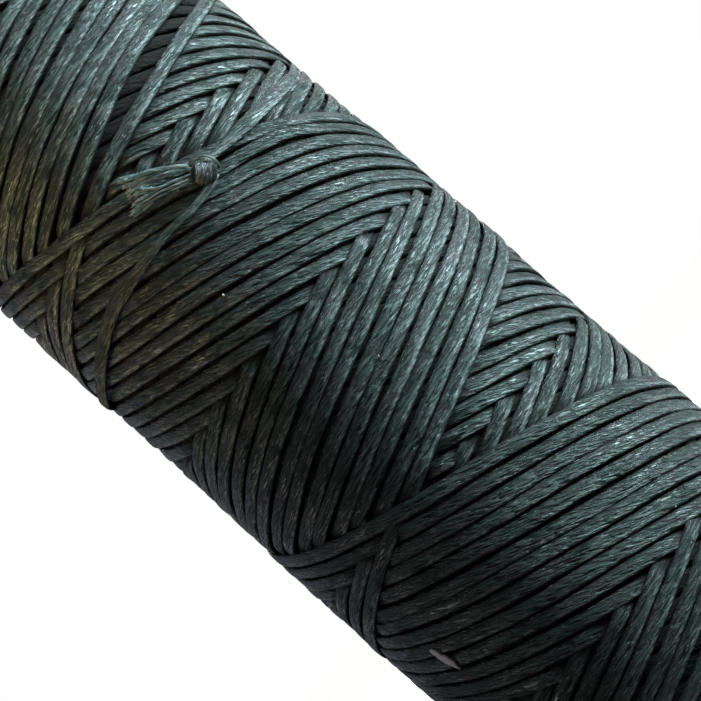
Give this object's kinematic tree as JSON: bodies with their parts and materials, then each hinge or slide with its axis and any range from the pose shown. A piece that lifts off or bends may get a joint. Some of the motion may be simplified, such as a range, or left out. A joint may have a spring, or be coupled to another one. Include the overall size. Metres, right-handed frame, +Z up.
{
  "type": "thread spool",
  "caption": "Small moulded tube with end collars, cross-wound with flat waxed thread, with a knotted thread end on the outside.",
  "frame": {"origin": "centre of the spool's lower end, where it stands", "axes": "+Z up along the spool's axis; -Y is the side with the knot"},
  "size_m": [0.025, 0.026, 0.072],
  "materials": {
    "waxed_thread": "dark green flat waxed polyester thread, semi-gloss",
    "tube_plastic": "natural white moulded plastic"
  },
  "bodies": {
    "root": {"core_tube": "tube_plastic", "thread_package": "waxed_thread", "tie_strand": "waxed_thread", "feed_strand": "waxed_thread", "end_knot": "waxed_thread", "cut_tail": "waxed_thread"}
  },
  "joints": []
}
